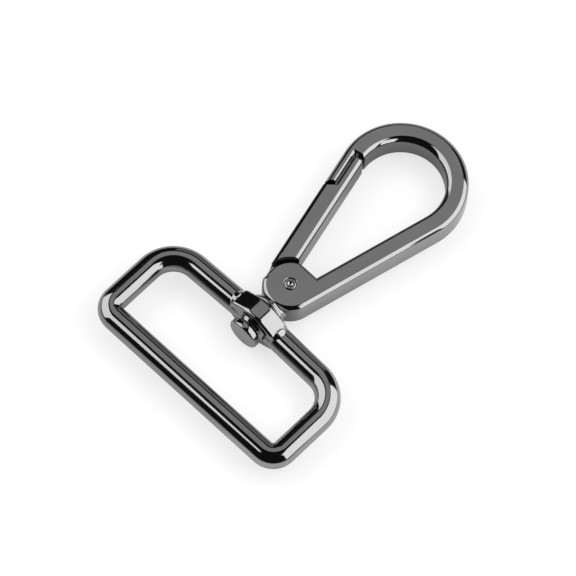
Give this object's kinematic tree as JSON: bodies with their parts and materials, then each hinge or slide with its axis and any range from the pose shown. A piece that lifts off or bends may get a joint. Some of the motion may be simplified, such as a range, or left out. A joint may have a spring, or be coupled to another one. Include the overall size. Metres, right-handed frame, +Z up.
{
  "type": "swivel snap hook",
  "caption": "Swivel snap hook in dark polished plate: rectangular strap loop, faceted swivel boss, teardrop hook and spring gate.",
  "frame": {"origin": "under the middle of the whole hook, on the surface it lies on", "axes": "+X along the strap bar, +Y from the strap bar to the tip of the hook, +Z up from the surface it lies on"},
  "size_m": [0.0474, 0.0706, 0.0094],
  "materials": {
    "black_nickel": "polished zinc casting with dark nickel plate",
    "pin_steel": "plated steel pin, ends punched",
    "spring_steel": "bare spring wire"
  },
  "bodies": {
    "loop": {"loop": "black_nickel"},
    "hook": {"hook_body": "black_nickel", "swivel_rivet": "black_nickel", "gate_pin": "pin_steel", "gate_spring": "spring_steel"},
    "gate": {"gate": "black_nickel"}
  },
  "joints": [
    {"name": "swivel", "type": "hinge", "parent": "loop", "child": "hook", "pos_m": [0, -0.0147, 0.0047], "axis": [0, 1, 0], "continuous": true},
    {"name": "gate_hinge", "type": "hinge", "parent": "hook", "child": "gate", "pos_m": [0, -0.00656, 0.0047], "axis": [0, 0, -1], "range_deg": [0, 26], "stiffness_Nm_per_rad": 0.02, "springref_deg": -28.65, "deforming": ["gate_spring"]}
  ]
}
